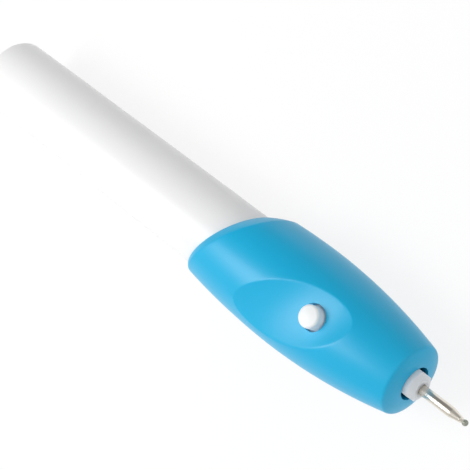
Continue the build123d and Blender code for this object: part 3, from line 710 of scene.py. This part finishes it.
@dataclass
class Housing:
    """The moulded barrel and grip."""

    sharp_edge: float = 32.0

    def build(self) -> list[bpy.types.Object]:
        """Make the two shells' smooth skins and dress them."""
        return [
            skin("barrel", "barrel_shell", Body.BARREL, BARREL_WHITE, self.sharp_edge),
            skin("grip", "grip_shell", Body.PEN, GRIP_BLUE, self.sharp_edge),
        ]


@dataclass
class Switch:
    """The push button with its brass leaf and contact."""

    sharp_edge: float = 40.0
    leaf_foot_end: float = 110.1 * MM
    leaf_top_start: float = 120.2 * MM

    def build(self) -> list[bpy.types.Object]:
        """Make the button's smooth skin and a smooth copy of the brass leaf.

        Returns:
            The leaf and the button's cap.
        """
        dress_nodes({"switch_contact": BRASS})
        leaf = smooth_copy("switch_leaf", "switch_leaf_strip", BRASS, self.sharp_edge)
        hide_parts("switch_leaf")
        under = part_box("switch_leaf")[0][2]
        bend = ((x, 0.0, under) for x in (self.leaf_foot_end, self.leaf_top_start))
        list(bend)
        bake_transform(leaf)
        cap = smooth_copy("button", "button_cap", BUTTON_WHITE, self.sharp_edge)
        return [leaf, hand_over(cap, "button", Body.BUTTON)]


@dataclass(frozen=True)
class Lead:
    """One short lead inside the pen: insulation, and at each end bared wire in solder."""

    node: str
    insulation: Finish
    tinned: Finish
    route: tuple[Place, ...]
    radius: float = 0.4 * MM
    wire_radius: float = 0.2 * MM
    bared: float = 0.75 * MM
    bead: float = 0.5 * MM
    bead_fullness: float = 0.9
    sides: int = 16
    spacing: float = 0.1 * MM
    # Half the length of the step from the insulation down to the wire.
    step_in: float = 0.001 * MM
    curve_order: int = 3
    curve_points: int = 24
    sharp_edge: float = 45.0
    # What adding lengths up may be off by.
    rounding: float = 1e-12

    def line(self) -> list[Vector]:
        """Read points along the lead's smooth line.

        Returns:
            Points from a NURBS curve that has the route's points as its control points.
        """
        curve = bpy.data.curves.new(self.node, "CURVE")
        curve.dimensions = "3D"
        curve.resolution_u = self.curve_points
        spline = curve.splines.new("NURBS")
        spline.points.add(len(self.route) - 1)
        for point, place in zip(spline.points, self.route):
            point.co = (*place, 1.0)
        spline.order_u = self.curve_order
        spline.use_endpoint_u = True
        carrier = bpy.data.objects.new(self.node, curve)
        points = [vertex.co.copy() for vertex in bpy.data.meshes.new_from_object(carrier).vertices]
        bpy.data.objects.remove(carrier)
        return points

    def places(self, length: float) -> list[float]:
        """Choose where along the lead its rings of points lie.

        Args:
            length: The lead's length.

        Returns:
            Distances along the lead in order, with two close ones where the insulation ends.
        """
        count = round(length / self.spacing)
        places = {length * step / count for step in range(count + 1)}
        for edge in (self.bared, length - self.bared):
            places |= {edge - self.step_in, edge + self.step_in}
        return sorted(places)

    def radius_at(self, along: float, length: float) -> float:
        """Give the lead's radius by how near an end it is.

        Args:
            along: A distance along the lead.
            length: The lead's length.

        Returns:
            The radius of the insulation, the wire or the bead of solder.
        """
        near = min(along, length - along)
        if near >= self.bared:
            return self.radius
        if near >= self.bead:
            return self.wire_radius
        swell = (self.radius - self.wire_radius) * math.sqrt(1 - (near / self.bead) ** 2)
        return self.wire_radius + swell * self.bead_fullness

    def build(self) -> list[bpy.types.Object]:
        """Sweep the lead along its line and dress its stretches.

        Returns:
            The lead.
        """
        points = self.line()
        reach = [0.0]
        for behind, ahead in zip(points, points[1:]):
            reach.append(reach[-1] + (ahead - behind).length)
        length = reach[-1]
        places = self.places(length)
        turns = [2 * math.pi * step / self.sides for step in range(self.sides)]
        work = bmesh.new()
        rings = []
        side = None
        for along in places:
            index = next(i for i in range(1, len(reach)) if reach[i] >= along - self.rounding)
            share = (along - reach[index - 1]) / (reach[index] - reach[index - 1])
            centre = points[index - 1].lerp(points[index], share)
            heading = (points[index] - points[index - 1]).normalized()
            side = (side or heading.orthogonal()).normalized()
            side = (side - heading * side.dot(heading)).normalized()
            up = heading.cross(side)
            radius = self.radius_at(along, length)
            spokes = [math.cos(turn) * side + math.sin(turn) * up for turn in turns]
            rings.append([work.verts.new(centre + radius * spoke) for spoke in spokes])
        for start, end, behind, ahead in zip(places, places[1:], rings, rings[1:]):
            insulated = self.bared <= (start + end) / 2 <= length - self.bared
            for step in range(self.sides):
                after = (step + 1) % self.sides
                face = work.faces.new((behind[step], behind[after], ahead[after], ahead[step]))
                face.material_index = 0 if insulated else 1
        for ring in (rings[0][::-1], rings[-1]):
            work.faces.new(ring).material_index = 1
        bmesh.ops.recalc_face_normals(work, faces=work.faces)
        mesh = bpy.data.meshes.new(self.node)
        keep_mesh(work, mesh, self.sharp_edge)
        for finish in (self.insulation, self.tinned):
            mesh.materials.append(finish.material())
        piece = place_piece(f"{self.node}_wire", mesh)
        return [hand_over(piece, self.node, Body.PEN)]


@dataclass
class DryCell:
    """One AAA cell: a steel can in shrunk film, with a washer and a nub at its positive end."""

    node: str
    nub_radius: float = 1.9 * MM
    nub_length: float = 0.8 * MM
    nub_round: float = 0.25 * MM
    end_round: float = 0.5 * MM
    lip: float = 0.02 * MM
    sunk: float = 0.12 * MM
    film_edge: float = 4.45 * MM
    groove_edge: float = 4.3 * MM
    pad_radius: float = 3.7 * MM
    washer_radius: float = 2.9 * MM
    ring_start: float = 0.66
    ring_end: float = 0.73
    sharp_edge: float = 30.0

    def build(self) -> list[bpy.types.Object]:
        """Turn the cell from its flat negative end to its nub.

        Returns:
            The cell.
        """
        low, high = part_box(self.node)
        rear, tip, radius = low[0], high[0], high[1]
        front = tip - self.nub_length
        can = front - rear
        cell = Turned((rear, 0.0))
        cell.to(rear, self.pad_radius, CELL_STEEL)
        cell.to(rear + self.sunk, self.pad_radius + self.sunk, CELL_STEEL)
        cell.to(rear + self.sunk, self.groove_edge, CELL_STEEL)
        cell.to(rear + self.lip, self.film_edge, FILM_DARK)
        cell.to(rear + self.lip, radius - self.end_round, FILM_DARK)
        cell.bend(rear + self.end_round, radius, FILM_DARK, Leaving.OUTWARD)
        cell.to(rear + can * self.ring_start, radius, FILM_DARK)
        cell.to(rear + can * self.ring_end, radius, FILM_PALE)
        cell.to(front - self.end_round, radius, FILM_DARK)
        cell.bend(front - self.lip, radius - self.end_round, FILM_DARK, Leaving.FORWARD)
        cell.to(front - self.lip, self.film_edge, FILM_DARK)
        cell.to(front - self.sunk, self.groove_edge, FILM_DARK)
        cell.to(front - self.sunk, self.washer_radius, CELL_STEEL)
        cell.to(front - 2 * self.sunk, self.washer_radius, WASHER_FIBRE)
        cell.to(front - 2 * self.sunk, self.nub_radius, WASHER_FIBRE)
        cell.to(tip - self.nub_round, self.nub_radius, CELL_STEEL)
        cell.bend(tip, self.nub_radius - self.nub_round, CELL_STEEL, Leaving.FORWARD)
        cell.to(tip, 0.0, CELL_STEEL)
        piece = cell.spin(f"{self.node}_can", self.sharp_edge)
        return [hand_over(piece, self.node, Body.PEN)]


@dataclass
class RearSpring:
    """The conical contact spring, wound from its plate towards the rear cell, with flat ends."""

    wire: float = 0.35 * MM
    foot: float = 4.3 * MM
    head: float = 8.2 * MM
    foot_radius: float = 3.6 * MM
    head_radius: float = 2.4 * MM
    turns: float = 3.0
    foot_turns: float = 0.7
    head_turns: float = 0.4
    turn_points: int = 44
    sides: int = 14
    sharp_edge: float = 50.0

    def build(self) -> list[bpy.types.Object]:
        """Wind the wire by a Geometry Nodes tree.

        Returns:
            The spring.
        """
        all_turns = self.turns + self.foot_turns + self.head_turns
        coil = Grown(
            "rear_spring_coil",
            {
                "Wire radius": self.wire,
                "Foot": self.foot,
                "Head": self.head,
                "Foot radius": self.foot_radius,
                "Head radius": self.head_radius,
                "Turns": self.turns,
                "Foot turns": self.foot_turns,
                "Head turns": self.head_turns,
                "Points": round(self.turn_points * all_turns),
                "Sides": self.sides,
            },
            SPRING_WIRE,
        )
        given = coil.given
        straight = coil.add("GeometryNodeCurvePrimitiveLine").outputs[0]
        track = coil.add(
            "GeometryNodeResampleCurve", {"Curve": straight, "Count": given["Points"]}
        ).outputs[0]
        share = coil.add("GeometryNodeSplineParameter").outputs["Factor"]
        last = coil.work_out("ADD", given["Turns"], given["Head turns"])
        first = coil.work_out("MULTIPLY", given["Foot turns"], -1.0)
        turn = coil.add(
            "ShaderNodeMapRange", {"Value": share, "To Min": first, "To Max": last}
        ).outputs["Result"]
        climb = {"Value": turn, "From Min": 0.0, "From Max": given["Turns"]}
        along, radius = (
            coil.add(
                "ShaderNodeMapRange", {**climb, "To Min": given[foot], "To Max": given[head]}
            ).outputs["Result"]
            for foot, head in (("Foot", "Head"), ("Foot radius", "Head radius"))
        )
        angle = coil.work_out("MULTIPLY", turn, 2 * math.pi)
        left = coil.work_out("MULTIPLY", radius, coil.work_out("COSINE", angle))
        up = coil.work_out("MULTIPLY", radius, coil.work_out("SINE", angle))
        place = coil.add("ShaderNodeCombineXYZ", {"X": along, "Y": left, "Z": up}).outputs[0]
        path = coil.add("GeometryNodeSetPosition", {"Geometry": track, "Position": place})
        section = coil.add(
            "GeometryNodeCurvePrimitiveCircle",
            {"Radius": given["Wire radius"], "Resolution": given["Sides"]},
        )
        swept = coil.add(
            "GeometryNodeCurveToMesh",
            {"Curve": path.outputs[0], "Profile Curve": section.outputs[0], "Fill Caps": True},
        )
        piece = coil.grow(swept.outputs[0], self.sharp_edge)
        return [hand_over(piece, "rear_spring", Body.PEN)]


@dataclass
class PowerPack:
    """The sled with its two cells, the rear spring and the contact strips."""

    sharp_edge: float = 30.0

    def build(self) -> list[bpy.types.Object]:
        """Make the sled and what lies in it.

        Returns:
            The sled's tray, the two cells and the spring.
        """
        dress_nodes({"ground_strip": NICKELLED, "front_contact": NICKELLED})
        pieces = [skin("battery_sled", "battery_sled_tray", Body.PEN, INNER_WHITE, self.sharp_edge)]
        for part in (DryCell("cell_rear"), DryCell("cell_front"), RearSpring()):
            pieces += part.build()
        return pieces


@dataclass
class RotorWindings:
    """Three coils of fine wire, one round each web of the rotor's core."""

    # Real wire is about 0.15 mm thick. It is drawn 0.24 mm thick, so that its turns show.
    wire: float = 0.12 * MM
    middle: float = 116.4 * MM
    web_length: float = 8.0 * MM
    web_width: float = 1.5 * MM
    inner_radius: float = 1.9 * MM
    outer_radius: float = 3.35 * MM
    layer_step: float = 0.22 * MM
    layers: int = 4
    rows: int = 6
    poles: int = 3
    sides: int = 6
    corner_points: int = 4
    sharp_edge: float = 60.0

    def build(self) -> list[bpy.types.Object]:
        """Wind all coils by a Geometry Nodes tree, one branch for each layer of turns.

        Returns:
            The three coils as one piece.
        """
        row_room = self.outer_radius - self.inner_radius - 2 * self.wire
        coils = Grown(
            "rotor_coils",
            {
                "Wire radius": self.wire,
                "Middle": self.middle,
                "Web length": self.web_length,
                "Web width": self.web_width,
                "Lowest row": self.inner_radius + self.wire,
                "Row step": row_room / (self.rows - 1),
                "Rows": self.rows,
                "Poles": self.poles,
                "Sides": self.sides,
            },
            COPPER_WIRE,
        )
        given = coils.given
        first = coils.add("ShaderNodeCombineXYZ", {"Y": given["Lowest row"]})
        step = coils.add("ShaderNodeCombineXYZ", {"Y": given["Row step"]})
        rows = coils.add(
            "GeometryNodeMeshLine",
            {"Count": given["Rows"], "Start Location": first.outputs[0], "Offset": step.outputs[0]},
        )
        all_turns = coils.add("GeometryNodeJoinGeometry")
        for layer in range(self.layers):
            outset = coils.work_out("ADD", given["Wire radius"], layer * self.layer_step)
            length = coils.work_out("MULTIPLY_ADD", outset, 2.0, given["Web length"])
            width = coils.work_out("MULTIPLY_ADD", outset, 2.0, given["Web width"])
            loop = coils.add(
                "GeometryNodeCurvePrimitiveQuadrilateral", {"Width": length, "Height": width}
            )
            rounded = coils.add(
                "GeometryNodeFilletCurve",
                {"Curve": loop.outputs[0], "Radius": outset, "Count": self.corner_points},
                mode="POLY",
            )
            upright = coils.add(
                "GeometryNodeTransform",
                {"Geometry": rounded.outputs[0], "Rotation": (math.pi / 2, 0.0, 0.0)},
            )
            stack = coils.add(
                "GeometryNodeInstanceOnPoints",
                {"Points": rows.outputs[0], "Instance": upright.outputs[0]},
            )
            coils.tree.links.new(stack.outputs[0], all_turns.inputs[0])
        loops = coils.add("GeometryNodeRealizeInstances", {"Geometry": all_turns.outputs[0]})
        section = coils.add(
            "GeometryNodeCurvePrimitiveCircle",
            {"Radius": given["Wire radius"], "Resolution": given["Sides"]},
        )
        wound = coils.add(
            "GeometryNodeCurveToMesh",
            {"Curve": loops.outputs[0], "Profile Curve": section.outputs[0]},
        )
        hub = coils.add("ShaderNodeCombineXYZ", {"X": given["Middle"]}).outputs[0]
        spots = coils.add(
            "GeometryNodeMeshLine",
            {"Count": given["Poles"], "Start Location": hub, "Offset": (0.0, 0.0, 0.0)},
        )
        number = coils.add("GeometryNodeInputIndex").outputs[0]
        full_turns = coils.work_out("MULTIPLY", number, 2 * math.pi)
        angle = coils.work_out("DIVIDE", full_turns, given["Poles"])
        turned = coils.add("ShaderNodeCombineXYZ", {"X": angle}).outputs[0]
        ring = coils.add(
            "GeometryNodeInstanceOnPoints",
            {"Points": spots.outputs[0], "Instance": wound.outputs[0], "Rotation": turned},
        )
        piece = coils.grow(ring.outputs[0], self.sharp_edge)
        return [hand_over(piece, "rotor_windings", Body.ROTOR)]


@dataclass
class Drive:
    """The chassis with its screw, the motor, the rotor and the leads."""

    sharp_edge: float = 30.0
    positive: Lead = Lead(
        "lead_positive",
        RED_PVC,
        RED_TINNED,
        (
            (0.0979, 0.0013, 0.0072),
            (0.0997, 0.0013, 0.0072),
            (0.1035, -0.000867, 0.0072),
            (0.1061, 0.0, 0.0072),
        ),
    )
    negative: Lead = Lead(
        "lead_negative",
        BLACK_PVC,
        BLACK_TINNED,
        (
            (0.0996, 0.0004, -0.00675),
            (0.1008, 0.0004, -0.00675),
            (0.1023, 0.0046, -0.00202),
            (0.1039, 0.0046, -0.00202),
        ),
    )

    def build(self) -> list[bpy.types.Object]:
        """Make the smooth skins, dress the small nodes, and wind the coils.

        Returns:
            The chassis, the motor's can and end cap, the coils and the two leads.
        """
        dress_nodes(
            {
                "motor_terminals": BRASS,
                "motor_brushes": BRASS,
                "motor_front_bearing": BRONZE,
                "motor_rear_bearing": BRONZE,
                "motor_magnets": FERRITE,
                "motor_shaft": SHANK_STEEL,
                "rotor_core": LAMINATED,
                "commutator": COPPER_BAR,
                "commutator_hub": MOTOR_BLACK,
                "chassis_screw": SHANK_STEEL,
            }
        )
        pieces = [
            skin("chassis", "chassis_frame", Body.PEN, INNER_WHITE, self.sharp_edge),
            skin("motor_can", "motor_can_shell", Body.PEN, CAN_STEEL, self.sharp_edge),
            skin("motor_end_bell", "motor_end_cap", Body.PEN, MOTOR_BLACK, self.sharp_edge),
        ]
        for part in (RotorWindings(), self.positive, self.negative):
            pieces += part.build()
        return pieces


@dataclass
class ToolHead:
    """The nylon holder, the steel bit and its ball of diamond grit."""

    sharp_edge: float = 34.0
    ball_centre: float = 160.45 * MM
    ball_radius: float = 0.65 * MM
    ball_steps: int = 24
    ball_around: int = 40
    ball_edge: float = 60.0
    crystal: float = 0.055 * MM
    crystal_least: float = 0.6
    crystal_most: float = 1.05
    crystal_gap: float = 0.075 * MM
    # Spots on a square metre, more than the gap leaves room for.
    crystal_density: float = 2e9
    crystal_edge: float = 30.0
    crystal_seed: int = 7

    def build(self) -> list[bpy.types.Object]:
        """Make the holder, the bit and the head."""
        return [
            skin("tool_holder", "tool_holder_collar", Body.ROTOR, HOLDER_NYLON, self.sharp_edge),
            skin("engraving_bit", "engraving_bit_shank", Body.BIT, SHANK_STEEL, self.sharp_edge),
            self.head(),
        ]

    def ball(self) -> bpy.types.Object:
        """Turn the ball that the crystals sit on.

        Returns:
            The ball, which rides on nothing yet.
        """
        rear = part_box("diamond_head")[0][0]
        opening = math.acos((self.ball_centre - rear) / self.ball_radius)
        ball = Turned((rear, 0.0), around=self.ball_around)
        for step in range(self.ball_steps + 1):
            angle = opening + (math.pi - opening) * step / self.ball_steps
            radius = self.ball_radius * math.sin(angle) if step < self.ball_steps else 0.0
            ball.to(self.ball_centre - self.ball_radius * math.cos(angle), radius, GRIT)
        return ball.spin("diamond_head_grit", self.ball_edge)

    def head(self) -> bpy.types.Object:
        """Let Geometry Nodes set crystals in the ball.

        Returns:
            The head.
        """
        grit = Grown(
            "diamond_head_grit",
            {"Crystal": self.crystal, "Gap": self.crystal_gap, "Seed": self.crystal_seed},
            GRIT,
        )
        given = grit.given
        spots = grit.add(
            "GeometryNodeDistributePointsOnFaces",
            {
                "Mesh": given["Geometry"],
                "Distance Min": given["Gap"],
                "Density Max": self.crystal_density,
                "Seed": given["Seed"],
            },
            distribute_method="POISSON",
        )
        crystal = grit.add(
            "GeometryNodeMeshIcoSphere", {"Radius": given["Crystal"], "Subdivisions": 1}
        )
        tumble, growth = (
            grit.add(
                "FunctionNodeRandomValue",
                {0: (least,) * 3, 1: (most,) * 3, "Seed": given["Seed"]},
                data_type="FLOAT_VECTOR",
            )
            for least, most in ((-math.pi, math.pi), (self.crystal_least, self.crystal_most))
        )
        sown = grit.add(
            "GeometryNodeInstanceOnPoints",
            {
                "Points": spots.outputs["Points"],
                "Instance": crystal.outputs[0],
                "Rotation": tumble.outputs[0],
                "Scale": growth.outputs[0],
            },
        )
        both = grit.add("GeometryNodeJoinGeometry")
        for shape in (given["Geometry"], sown.outputs[0]):
            grit.tree.links.new(shape, both.inputs[0])
        piece = grit.grow(both.outputs[0], self.crystal_edge, self.ball())
        return hand_over(piece, "diamond_head", Body.BIT)


@dataclass
class Studio:
    """Floor, soft light and the camera of the photograph."""

    floor_z: float = -12.83 * MM
    floor_side: float = 6.0
    floor_paint: str = "#F2F2F2"
    floor_glow: float = 1.02
    glow_share: float = 0.84
    camera_place: Place = (0.27124, 0.05266, 0.26115)
    image_right: Place = (0.65379, 0.51103, -0.55804)
    view: Place = (-0.56720, -0.15715, -0.80845)
    # The lens's focal length over the picture's width, both in pixels.
    focal_share: float = 1400 / 470
    sensor: float = 36.0
    nearest: float = 0.01
    middle: Place = (0.11, 0.0, 0.0)
    key_place: Place = (-0.15, -0.185, 0.51)
    key_side: float = 0.35
    key_power: float = 2.28
    fill_place: Place = (0.62, 0.42, 0.50)
    fill_side: float = 0.6
    fill_power: float = 0.35
    room: float = 0.59
    dark_side: Place = (-0.56, 0.56, 0.60)
    dark_room: float = 0.2
    dark_core: float = 18.0
    dark_edge: float = 52.0

    def build(self) -> None:
        """Set up the floor, the lights, the world and the camera."""
        self.lay_floor()
        self.hang_softbox("key softbox", self.key_place, self.key_side, self.key_power)
        self.hang_softbox("fill softbox", self.fill_place, self.fill_side, self.fill_power)
        self.fill_world()
        self.place_camera()
        bpy.context.scene.view_settings.view_transform = "Standard"

    def white_rays(self, tree: bpy.types.NodeTree) -> bpy.types.NodeSocket:
        """Tell the rays that should see plain white from those that carry light.

        Args:
            tree: The floor material's node tree.

        Returns:
            An output that is 1 for the camera's rays and for reflected and refracted ones.
        """
        rays = add_node(tree, "ShaderNodeLightPath").outputs
        seen = rays["Is Camera Ray"]
        for kind in ("Is Glossy Ray", "Is Transmission Ray"):
            seen = add_node(
                tree, "ShaderNodeMath", {0: seen, 1: rays[kind]}, operation="MAXIMUM"
            ).outputs[0]
        return seen

    def lay_floor(self) -> None:
        """Lay a white floor that keeps the pen's soft shadow."""
        half = self.floor_side / 2
        mesh = bpy.data.meshes.new("floor")
        corners = ((-half, -half), (half, -half), (half, half), (-half, half))
        mesh.from_pydata([(x, y, self.floor_z) for x, y in corners], [], [(0, 1, 2, 3)])
        floor = place_piece("floor", mesh)
        material = bpy.data.materials.new("white floor")
        material.use_nodes = True
        tree = material.node_tree
        tree.nodes.clear()
        paint = add_node(tree, "ShaderNodeBsdfDiffuse", {"Color": linear(self.floor_paint)})
        glow = add_node(
            tree, "ShaderNodeEmission", {"Color": WHITE_LIGHT, "Strength": self.floor_glow}
        )
        half_lit = add_node(
            tree,
            "ShaderNodeMixShader",
            {"Fac": self.glow_share, 1: paint.outputs[0], 2: glow.outputs[0]},
        )
        surface = add_node(
            tree,
            "ShaderNodeMixShader",
            {"Fac": self.white_rays(tree), 1: paint.outputs[0], 2: half_lit.outputs[0]},
        )
        add_node(tree, "ShaderNodeOutputMaterial", {"Surface": surface.outputs[0]})
        mesh.materials.append(material)

    def hang_softbox(self, name: str, place: Place, side: float, power: float) -> None:
        """Hang one square softbox that faces the middle of the pen.

        Args:
            name: The lamp's name.
            place: Where it hangs.
            side: The length of its sides.
            power: Its power in watts.
        """
        lamp = bpy.data.lights.new(name, "AREA")
        lamp.shape = "SQUARE"
        lamp.size = side
        lamp.energy = power
        holder = place_piece(name, lamp)
        holder.location = place
        aim = Vector(self.middle) - Vector(place)
        holder.rotation_euler = aim.to_track_quat("-Z", "Y").to_euler()

    def fill_world(self) -> None:
        """Fill the room with even light, and keep one high side dark for contrast in the gloss."""
        world = bpy.data.worlds.new("pale room")
        world.use_nodes = True
        tree = world.node_tree
        tree.nodes.clear()
        facing = add_node(tree, "ShaderNodeTexCoord").outputs["Generated"]
        towards = add_node(
            tree,
            "ShaderNodeVectorMath",
            {0: facing, 1: tuple(Vector(self.dark_side).normalized())},
            operation="DOT_PRODUCT",
        )
        strength = add_node(
            tree,
            "ShaderNodeMapRange",
            {
                "Value": towards.outputs["Value"],
                "From Min": math.cos(math.radians(self.dark_edge)),
                "From Max": math.cos(math.radians(self.dark_core)),
                "To Min": self.room,
                "To Max": self.dark_room,
            },
            interpolation_type="SMOOTHSTEP",
        ).outputs["Result"]
        glow = add_node(tree, "ShaderNodeBackground", {"Color": WHITE_LIGHT, "Strength": strength})
        add_node(tree, "ShaderNodeOutputWorld", {"Surface": glow.outputs[0]})
        bpy.context.scene.world = world

    def place_camera(self) -> None:
        """Put the camera where the photograph was taken from."""
        lens = bpy.data.cameras.new("camera")
        lens.sensor_width = self.sensor
        lens.lens = self.sensor * self.focal_share
        lens.clip_start = self.nearest
        camera = place_piece("camera", lens)
        back = -Vector(self.view).normalized()
        right = Vector(self.image_right).normalized()
        up = back.cross(right).normalized()
        right = up.cross(back)
        turn = Matrix((right, up, back)).transposed()
        camera.matrix_world = Matrix.Translation(self.camera_place) @ turn.to_4x4()
        bpy.context.scene.camera = camera


def main() -> None:
    """Build the pen's looks piece by piece, then its studio."""
    logging.basicConfig(level=logging.INFO, format="%(message)s")
    for part in (Housing(), ToolHead(), Switch(), PowerPack(), Drive()):
        for piece in part.build():
            logging.info("%s: %d faces", piece.name, len(piece.data.polygons))
    Studio().build()


if __name__ == "__main__":
    main()
